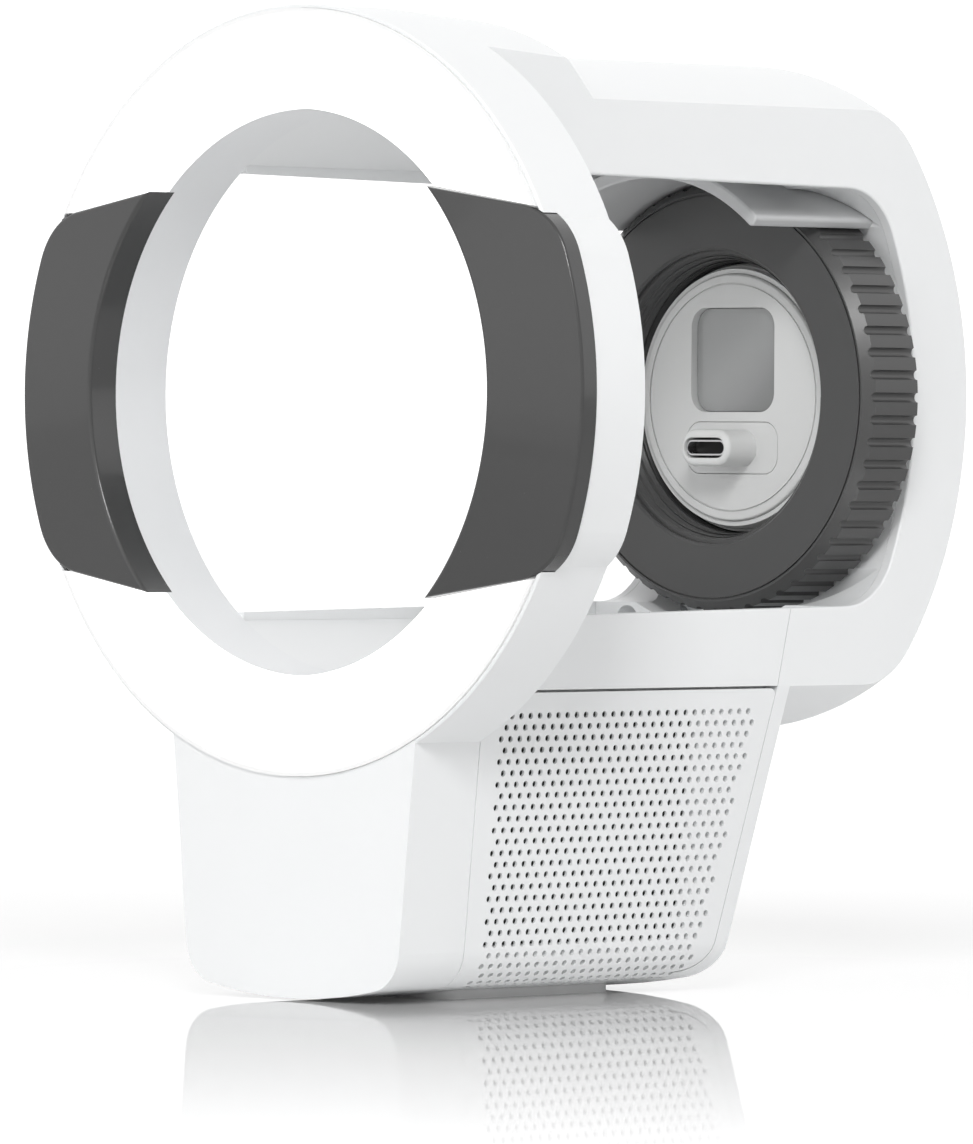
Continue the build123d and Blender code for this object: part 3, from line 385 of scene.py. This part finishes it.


# %% [markdown]
# The grille covers the speakers in the stand. It is drilled square to its skin, in rows that
# follow the stand's outline down the side and round the lower corner. Every second row starts
# half a pitch further back, and the rows stop along the stand's raked back edge. Dark dots in a
# material would look flat from close by, so the holes are real. The path of the rows is one bent
# line for each side, the group sets a small drill on every spot, and one Boolean cuts them all.
# Behind the drilled area the skin is pocketed thin, and a black cloth hangs in each pocket, like
# the mesh behind a speaker grille: a dark sheet that paints the shade seen through the holes.

# %% Grille sizes, in millimetres
GRILLE_TOP = (26.315, -48.15)       # first row, right of the axis and above it
GRILLE_CORNER = (22.326, -88.042)   # where side and bottom would meet without a round corner
GRILLE_UNDER = (12.871, -89.911)    # a point past the last row, under the stand
GRILLE_CORNER_R = 6.5
GRILLE_ROWS = 26
ROW_SPACING = 1.72                  # along the bent line
HOLE_PITCH = 1.974                  # front to back
HOLE_R = 0.5
FIRST_HOLE_DEPTH = 18.5             # behind the lit face
LAST_HOLE_DEPTH = 73.5              # in the top row
BACK_RAKE = 0.2425                  # how much farther forward the rows end for each step down
DRILL_OUTSIDE = 0.5                 # the drill's reach in front of the skin
DRILL_INSIDE = 2.5                  # and behind it
POCKET_SKIN = 0.45                  # skin left in front of the pocket
POCKET_TO = 2.6                     # the pocket's far side, behind the outer skin
POCKET_DEPTHS = (16.8, 60.0)
POCKET_HEIGHTS = (-82.5, -46.8)
CLOTH_GAP = 0.05
CLOTH_T = 0.15

# %% Grille group
BEND_STEPS = 24                     # straight steps in the path's round corner
DRILL_SIDES = 14
w, given = geometry_group("drilled grille", [
    ("Skin", "Object"), ("Pockets", "Object"), ("Corner radius", "Float"), ("Rows", "Int"),
    ("Row spacing", "Float"), ("Pitch", "Float"), ("Holes", "Int"), ("Last Y", "Float"),
    ("Top Z", "Float"), ("Rake", "Float"), ("Hole radius", "Float"), ("Outside", "Float"),
    ("Inside", "Float"), ("Material", "Material")])
path = w.add("GeometryNodeMeshToCurve", mesh=given["Geometry"]).outputs[0]
bend = w.add("GeometryNodeFilletCurve", {"mode": "POLY"}, curve=path, count=BEND_STEPS,
             radius=given["Corner radius"]).outputs[0]
row_steps = w.math("SUBTRACT", given["Rows"], 1.0)
run = w.math("MULTIPLY", row_steps, given["Row spacing"])
kept = w.add("GeometryNodeTrimCurve", {"mode": "LENGTH"}, curve=bend, start=0.0, end=run).outputs[0]
rows = w.add("GeometryNodeResampleCurve", curve=kept, count=given["Rows"]).outputs[0]
tangent = w.add("GeometryNodeInputTangent").outputs[0]
heading = w.add("ShaderNodeSeparateXYZ", vector=tangent).outputs
position = w.add("GeometryNodeInputPosition").outputs[0]
spot = w.add("ShaderNodeSeparateXYZ", vector=position).outputs
side = w.math("SIGN", spot["X"])
outward = w.add("ShaderNodeCombineXYZ",
                x=w.math("MULTIPLY", w.math("MULTIPLY", heading["Z"], -1.0), side),
                z=w.math("MULTIPLY", heading["X"], side)).outputs[0]
marked = w.add("GeometryNodeStoreNamedAttribute", {"data_type": "FLOAT_VECTOR", "domain": "POINT"},
               geometry=rows, name="outward", value=outward).outputs[0]
odd_row = w.math("MODULO", w.add("GeometryNodeSplineParameter").outputs["Index"], 2.0)
half_pitch = w.math("MULTIPLY", given["Pitch"], 0.5)
shift = w.add("ShaderNodeCombineXYZ", y=w.math("MULTIPLY", odd_row, half_pitch)).outputs[0]
staggered = w.add("GeometryNodeSetPosition", geometry=marked, offset=shift).outputs[0]
row_of_spots = w.add("GeometryNodeMeshLine", {"mode": "OFFSET"}, count=given["Holes"],
                     offset=w.add("ShaderNodeCombineXYZ", y=given["Pitch"]).outputs[0]).outputs[0]
grid = w.add("GeometryNodeInstanceOnPoints", points=staggered, instance=row_of_spots).outputs[0]
spots = w.add("GeometryNodeRealizeInstances", geometry=grid).outputs[0]
fallen = w.math("SUBTRACT", given["Top Z"], spot["Z"])
last_y = w.math("SUBTRACT", given["Last Y"], w.math("MULTIPLY", fallen, given["Rake"]))
inside = w.add("GeometryNodeDeleteGeometry", {"domain": "POINT"}, geometry=spots,
               selection=w.math("GREATER_THAN", spot["Y"], last_y)).outputs[0]
marked_outward = w.add("GeometryNodeInputNamedAttribute", {"data_type": "FLOAT_VECTOR"},
                       name="outward").outputs[0]
square = w.add("FunctionNodeAlignRotationToVector", {"axis": "Z"}, vector=marked_outward).outputs[0]
drill = w.add("GeometryNodeMeshCylinder", vertices=DRILL_SIDES, radius=given["Hole radius"],
              depth=w.math("ADD", given["Outside"], given["Inside"])).outputs["Mesh"]
sunk = w.math("MULTIPLY", w.math("SUBTRACT", given["Outside"], given["Inside"]), 0.5)
drill = w.add("GeometryNodeTransform", geometry=drill,
              translation=w.add("ShaderNodeCombineXYZ", z=sunk).outputs[0]).outputs[0]
drills = w.add("GeometryNodeInstanceOnPoints", points=inside, instance=drill,
               rotation=square).outputs[0]
drills = w.add("GeometryNodeRealizeInstances", geometry=drills).outputs[0]
skin = w.add("GeometryNodeObjectInfo", {"transform_space": "RELATIVE"}, object=given["Skin"])
pockets = w.add("GeometryNodeObjectInfo", {"transform_space": "RELATIVE"}, object=given["Pockets"])
thinned = w.add("GeometryNodeMeshBoolean", {"operation": "DIFFERENCE", "solver": "MANIFOLD"},
                mesh_1=skin.outputs["Geometry"], mesh_2=pockets.outputs["Geometry"]).outputs["Mesh"]
drilled = w.add("GeometryNodeMeshBoolean", {"operation": "DIFFERENCE", "solver": "MANIFOLD"},
                mesh_1=thinned, mesh_2=drills).outputs["Mesh"]
end_group(w, drilled, given["Material"])
drilled_grille = w.tree


# %% Slabs inside the stand's sides
def side_slabs(name, inset, inset_to, margin):
    """A flat slab inside each side of the stand, between two insets from the outer skin."""
    lean = (GRILLE_TOP[0] - GRILLE_CORNER[0]) / (GRILLE_TOP[1] - GRILLE_CORNER[1])
    slabs = bmesh.new()
    for side in (1, -1):
        corners = []
        for height in (POCKET_HEIGHTS[0] + margin, POCKET_HEIGHTS[1] - margin):
            skin_x = GRILLE_TOP[0] - lean * (GRILLE_TOP[1] - height)
            for depth in (POCKET_DEPTHS[0] + margin, POCKET_DEPTHS[1] - margin):
                for step in (inset, inset_to):
                    corners.append(slabs.verts.new(place(side * (skin_x - step), depth, height)))
        bmesh.ops.convex_hull(slabs, input=corners)
    bmesh.ops.recalc_face_normals(slabs, faces=slabs.faces)
    mesh = bpy.data.meshes.new(name)
    slabs.to_mesh(mesh)
    slabs.free()
    return new_object(name, mesh)


# %% Drill the grille
corners = [place(side * x, FIRST_HOLE_DEPTH, z) for side in (1, -1)
           for x, z in (GRILLE_TOP, GRILLE_CORNER, GRILLE_UNDER)]
path_mesh = bpy.data.meshes.new("grille")
path_mesh.from_pydata(corners, [(0, 1), (1, 2), (3, 4), (4, 5)], [])
grille = new_object("grille", path_mesh)
grille_blank = merged_copy("grille blank", "grille_shell")
pocket_blank = side_slabs("pocket blank", POCKET_SKIN, POCKET_TO, 0.0)
hole_count = int((LAST_HOLE_DEPTH - FIRST_HOLE_DEPTH) / HOLE_PITCH) + 1
run_group(grille, drilled_grille, {
    "Skin": grille_blank, "Pockets": pocket_blank, "Corner radius": GRILLE_CORNER_R * MM,
    "Rows": GRILLE_ROWS, "Row spacing": ROW_SPACING * MM, "Pitch": HOLE_PITCH * MM,
    "Holes": hole_count, "Last Y": FACE_Y + LAST_HOLE_DEPTH * MM, "Top Z": corners[0].z,
    "Rake": BACK_RAKE, "Hole radius": HOLE_R * MM, "Outside": DRILL_OUTSIDE * MM,
    "Inside": DRILL_INSIDE * MM, "Material": finish["shell_white"]})
bpy.data.objects.remove(grille_blank)
bpy.data.objects.remove(pocket_blank)
print("grille triangles:", triangles(grille))
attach(grille, "root")
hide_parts("grille_shell")

# %% Hang the black cloth that paints the shade in the holes
CLOTH_FRONT = POCKET_SKIN + CLOTH_GAP
# A black sheet behind the holes, like the mesh behind a speaker grille: it paints the shade seen
# through them.
cloth = side_slabs("dust_cloth", CLOTH_FRONT, CLOTH_FRONT + CLOTH_T, CLOTH_GAP)
cloth.data.materials.append(moulded_plastic("black dust cloth", (0.012, 0.012, 0.012), 0.9,
                                            grain_mm=0.3, grain_depth_mm=0.05, mottle=0.2))
print("shade cloth triangles:", triangles(cloth))
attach(cloth, "root")

# %% [markdown]
# The focus wheel drives the dock through a screw thread: a coarse helix cut into the dark nut
# inside the wheel, and the same helix cut into the white barrel that carries the dock. The nut's
# mouth opens towards the front and the barrel narrows there, so that the two start easily. A
# Screw modifier could sweep a thread, but it would have to be joined to the sleeve by hand. One
# group cuts both threads instead: a square profile set on its edge follows the helix, and the
# Boolean leaves a plain V groove in whichever sleeve it is given.

# %% Thread group
TURN_STEPS = 96                     # straight steps in one turn of the helix
SQUARE = 4                          # sides of the groove's profile
w, given = geometry_group("cut thread", [
    ("Radius", "Float"), ("Pitch", "Float"), ("Depth", "Float"), ("From Y", "Float"),
    ("To Y", "Float"), ("Axis Z", "Float"), ("Flare", "Float"), ("Flare length", "Float"),
    ("Material", "Material")])
length = w.math("SUBTRACT", given["To Y"], given["From Y"])
turns = w.math("DIVIDE", length, given["Pitch"])
helix = w.add("GeometryNodeCurveSpiral", resolution=TURN_STEPS, rotations=turns, height=length,
              start_radius=given["Radius"], end_radius=given["Radius"]).outputs[0]
point = w.add("GeometryNodeInputPosition").outputs[0]
along = w.add("ShaderNodeSeparateXYZ", vector=point).outputs["Z"]
opening = w.add("ShaderNodeMapRange", value=along, from_max=given["Flare length"],
                to_min=given["Flare"], to_max=0.0).outputs["Result"]
widen = w.math("ADD", 1.0, w.math("DIVIDE", opening, given["Radius"]))
scale = w.add("ShaderNodeCombineXYZ", x=widen, y=widen, z=1.0).outputs[0]
flared_to = w.add("ShaderNodeVectorMath", {"operation": "MULTIPLY"}, in_0=point,
                  in_1=scale).outputs[0]
flared_helix = w.add("GeometryNodeSetPosition", geometry=helix, position=flared_to).outputs[0]
steady = w.add("GeometryNodeSetCurveNormal", {"mode": "Z_UP"}, curve=flared_helix).outputs[0]
tooth = w.add("GeometryNodeCurvePrimitiveCircle", {"mode": "RADIUS"}, resolution=SQUARE,
              radius=given["Depth"]).outputs[0]
groove = w.add("GeometryNodeCurveToMesh", curve=steady, profile_curve=tooth,
               fill_caps=True).outputs[0]
start = w.add("ShaderNodeCombineXYZ", y=given["From Y"], z=given["Axis Z"]).outputs[0]
groove = w.add("GeometryNodeTransform", geometry=groove, rotation=(-math.pi / 2, 0, 0),
               translation=start)
cut = w.add("GeometryNodeMeshBoolean", {"operation": "DIFFERENCE", "solver": "MANIFOLD"},
            mesh_1=given["Geometry"], mesh_2=groove.outputs[0]).outputs["Mesh"]
end_group(w, cut, given["Material"])
cut_thread = w.tree

# %% Thread sizes, in millimetres
THREAD_PITCH = 1.5
THREAD_DEPTH = 0.6
THREAD_GAP = 0.2                    # between the barrel and the nut
NUT_FLARE = 1.0                     # how much wider the nut's mouth is
NUT_FLARE_LENGTH = 4.4
NUT_SETBACK = 0.7                   # how far the nut's front stands back in the wheel
BARREL_FLARE = -0.9                 # below zero, so the barrel's front is narrower
BARREL_FLARE_LENGTH = 2.2
FRONT_WITHIN = 0.01                 # a point this near the front belongs to it
FACE_WITHIN = 0.05                  # and this near the radius belongs to the thread face


# %% Flare the sleeves' fronts
def flare_front(obj, radius, flare, length, setback):
    """Opens the front of a sleeve's thread face, or narrows it below zero, and sets it back."""
    skin = bmesh.new()
    skin.from_mesh(obj.data)
    front = min(vertex.co.y for vertex in skin.verts)
    everything = skin.verts[:] + skin.edges[:] + skin.faces[:]
    bmesh.ops.bisect_plane(skin, geom=everything, plane_co=(0, front + length, 0),
                           plane_no=(0, 1, 0))
    for vertex in (v for v in skin.verts if v.co.y < front + FRONT_WITHIN * MM):
        from_axis = math.hypot(vertex.co.x, vertex.co.z - AXIS_HEIGHT)
        if abs(from_axis - radius) < FACE_WITHIN * MM:
            vertex.co.x *= 1 + flare / radius
            vertex.co.z = AXIS_HEIGHT + (vertex.co.z - AXIS_HEIGHT) * (1 + flare / radius)
        vertex.co.y += setback
    skin.to_mesh(obj.data)
    skin.free()
    return front


# %% Cut the threads
BARREL_R = (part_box("threaded_barrel")[1][0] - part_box("threaded_barrel")[0][0]) / 2
for name, node_name, body, radius, flare, flare_length, setback, coat in (
        ("barrel_thread", "threaded_barrel", "dock", BARREL_R, BARREL_FLARE * MM,
         BARREL_FLARE_LENGTH * MM, 0.0, "dock_white"),
        ("nut_thread", "threaded_nut", "wheel", BARREL_R + THREAD_GAP * MM, NUT_FLARE * MM,
         NUT_FLARE_LENGTH * MM, NUT_SETBACK * MM, "wheel_dark")):
    threaded = merged_copy(name, node_name)
    front = flare_front(threaded, radius, flare, flare_length, setback)
    run_group(threaded, cut_thread, {
        "Radius": radius, "Pitch": THREAD_PITCH * MM, "Depth": THREAD_DEPTH * MM,
        "From Y": front + THREAD_DEPTH * MM, "To Y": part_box(node_name)[1][1] - THREAD_PITCH * MM,
        "Axis Z": AXIS_HEIGHT, "Flare": flare, "Flare length": flare_length,
        "Material": finish[coat]})
    print(name, "triangles:", triangles(threaded))
    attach(threaded, body)
    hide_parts(node_name)

# %% [markdown]
# The studio is a seamless white table. The floor mirrors the object softly when seen at a low
# angle, and the mirror image dies away with distance from the object, as on white acrylic. A
# glossy Principled shader alone would mirror the far end of the table as well, so a mirror is
# mixed in by hand: strongest near the object and at a low angle, and gone farther out.

# %% Floor sizes and tones
FLOOR_HALF = 6.0                    # metres
TABLE_WHITE = 0.9
MIRROR = 0.84                       # share of the mirror right under the object, seen edge on
MIRROR_TONE = 0.74
MIRROR_ROUGHNESS = 0.02
FADE_START = 0.10                   # metres from the middle, where the mirror starts to fade
FADE_END = 0.66
LIFT_NEAR = 0.10                    # light added for the camera only, near and far
LIFT_FAR = 0.60
LIFT_START = 0.15
LIFT_END = 0.80

# %% Floor
floor_mesh = bpy.data.meshes.new("floor")
floor_mesh.from_pydata([(-FLOOR_HALF, -FLOOR_HALF, 0), (FLOOR_HALF, -FLOOR_HALF, 0),
                        (FLOOR_HALF, FLOOR_HALF, 0), (-FLOOR_HALF, FLOOR_HALF, 0)], [],
                       [(0, 1, 2, 3)])
floor = new_object("floor", floor_mesh)

table_material = bpy.data.materials.new("white acrylic table")
table_material.use_nodes = True
table_material.node_tree.nodes.clear()
w = Wiring(table_material.node_tree)
where = w.add("ShaderNodeTexCoord").outputs["Object"]
reach = w.add("ShaderNodeVectorMath", {"operation": "LENGTH"}, in_0=where).outputs["Value"]
near = w.add("ShaderNodeMapRange", value=reach, from_min=FADE_START, from_max=FADE_END,
             to_min=1.0, to_max=0.0).outputs["Result"]
glancing = w.add("ShaderNodeLayerWeight", blend=0.5).outputs["Facing"]
fading = w.math("MULTIPLY", w.math("MULTIPLY", near, near), w.math("MULTIPLY", glancing, glancing))
fading = w.math("MULTIPLY", fading, MIRROR)
white = w.add("ShaderNodeBsdfDiffuse", color=(TABLE_WHITE, TABLE_WHITE, TABLE_WHITE, 1))
far_lift = w.add("ShaderNodeMapRange", value=reach, from_min=LIFT_START, from_max=LIFT_END,
                 to_min=LIFT_NEAR, to_max=LIFT_FAR).outputs["Result"]
seen = w.add("ShaderNodeLightPath").outputs["Is Camera Ray"]
lift = w.add("ShaderNodeEmission", color=(1, 1, 1, 1), strength=w.math("MULTIPLY", seen, far_lift))
table = w.add("ShaderNodeAddShader", in_0=white.outputs[0], in_1=lift.outputs[0])
mirror = w.add("ShaderNodeBsdfGlossy", color=(MIRROR_TONE, MIRROR_TONE, MIRROR_TONE, 1),
               roughness=MIRROR_ROUGHNESS)
mixed = w.add("ShaderNodeMixShader", fac=fading, in_1=table.outputs[0], in_2=mirror.outputs[0])
w.add("ShaderNodeOutputMaterial", surface=mixed.outputs[0])
floor_mesh.materials.append(table_material)
print("floor", 2 * FLOOR_HALF, "m across")

# %% [markdown]
# A bright card stands behind the table. The table mirrors it, which is why the mirror image of the
# object looks darker than the table around it. The card lights nothing by itself, so that the
# object's own light comes from the lamps and the room alone.

# %% Backdrop
CARD_GLOW = 1.40
CARD_Y = 5.5
CARD_HALF = 9.0
CARD_HEIGHTS = (-0.5, 7.0)
backdrop_mesh = bpy.data.meshes.new("backdrop")
backdrop_mesh.from_pydata([(-CARD_HALF, CARD_Y, CARD_HEIGHTS[0]),
                           (CARD_HALF, CARD_Y, CARD_HEIGHTS[0]),
                           (CARD_HALF, CARD_Y, CARD_HEIGHTS[1]),
                           (-CARD_HALF, CARD_Y, CARD_HEIGHTS[1])], [], [(0, 1, 2, 3)])
backdrop = new_object("backdrop", backdrop_mesh)
card_material, _, card_shader = new_material("lit card", (0, 0, 0), 1.0,
                                             Emission_Strength=CARD_GLOW)
card_shader.inputs["Emission Color"].default_value = (1, 1, 1, 1)
backdrop_mesh.materials.append(card_material)
backdrop.visible_diffuse = False
print("card", CARD_Y, "m behind the object")

# %% [markdown]
# Light comes from everywhere in such a studio, so the world does most of the work, a little more
# from above than from below. The camera and glossy surfaces see a plain white room. A broad lamp
# in front fills the shadows. A smaller key lamp stands high on the right: it shines through the
# side window on to the dock, and draws the bright lines on the pads and on the wheel's chamfer.
# A picture of a real studio could light the object too, but its lamps would be hard to move.

# %% World
AMBIENT_LOW = 0.48
AMBIENT_HIGH = 0.70
AMBIENT_TURNS = (-0.2, 0.9)         # upward part of the direction where growth starts and ends
world = bpy.data.worlds.new("studio")
bpy.context.scene.world = world
world.use_nodes = True
w = Wiring(world.node_tree)
sky = world.node_tree.nodes["Background"]
sky.inputs["Color"].default_value = (1, 1, 1, 1)
direction = w.add("ShaderNodeTexCoord").outputs["Generated"]
aim = w.add("ShaderNodeSeparateXYZ", vector=direction).outputs["Z"]
ambient = w.add("ShaderNodeMapRange", {"interpolation_type": "SMOOTHSTEP"}, value=aim,
                from_min=AMBIENT_TURNS[0], from_max=AMBIENT_TURNS[1], to_min=AMBIENT_LOW,
                to_max=AMBIENT_HIGH).outputs["Result"]
seen = w.add("ShaderNodeLightPath").outputs
direct_view = w.math("MAXIMUM", seen["Is Camera Ray"], seen["Is Glossy Ray"])
lack = w.math("SUBTRACT", 1.0, ambient)
w.feed(sky.inputs["Strength"], w.math("MULTIPLY_ADD", direct_view, lack, ambient))


# %% Lamps
def soft_lamp(name, position, size, watts):
    """Square area lamp that faces the middle of the object."""
    lamp = bpy.data.objects.new(name, bpy.data.lights.new(name, "AREA"))
    bpy.context.scene.collection.objects.link(lamp)
    lamp.data.size = size
    lamp.data.energy = watts
    lamp.location = position
    towards = Vector((0, 0, AXIS_HEIGHT)) - Vector(position)
    lamp.rotation_euler = towards.to_track_quat("-Z", "Y").to_euler()
    print(name, watts, "W")


soft_lamp("front softbox", position=(-0.3, -1.6, 0.6), size=1.2, watts=2.9)
soft_lamp("key softbox", position=(1.10, -1.21, 1.15), size=0.5, watts=15.6)
